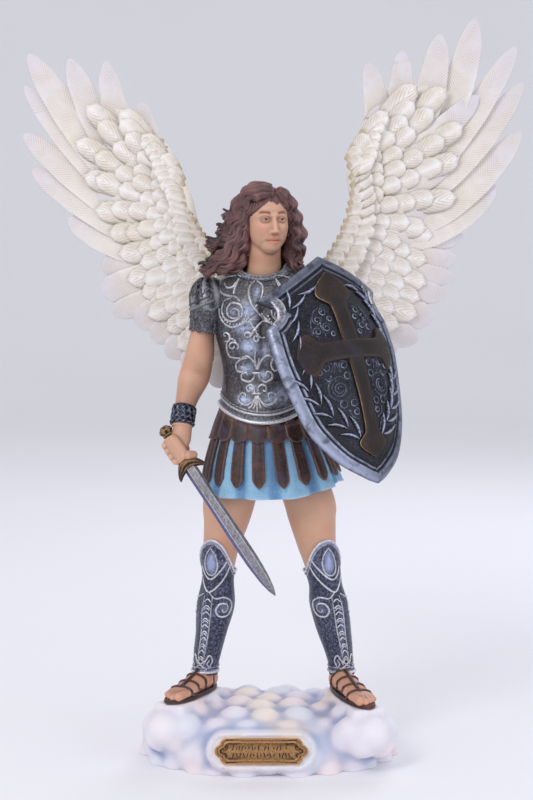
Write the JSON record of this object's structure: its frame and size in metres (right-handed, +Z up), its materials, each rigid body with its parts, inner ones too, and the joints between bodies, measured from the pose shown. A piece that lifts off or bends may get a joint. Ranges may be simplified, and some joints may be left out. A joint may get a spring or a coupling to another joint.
{
  "type": "winged archangel statue",
  "caption": "Painted standing statue of a winged archangel in armour, holding a sword and a domed shield, on an oval cloud base.",
  "frame": {"origin": "middle of the cloud base's flat underside", "axes": "+Z up, the figure faces -Y, +X to the figure's left"},
  "size_m": [0.258, 0.1073, 0.3693],
  "materials": {
    "cloud": "resin painted white and lavender with pale blue and pink tints",
    "feathers": "resin painted cream white with lavender tips",
    "figure": "resin painted as skin, brown hair, pewter armour, leather straps and a sky blue skirt",
    "shield": "resin painted gunmetal with silver relief and a bronze cross",
    "sword": "resin painted antique steel with a bronze hilt",
    "gilt": "resin painted antique gold"
  },
  "bodies": {
    "root": {"cloud_base": "cloud", "nameplate": "gilt", "figure": "figure", "sword": "sword", "shield": "shield", "wing_left": "feathers", "wing_right": "feathers"}
  },
  "joints": []
}
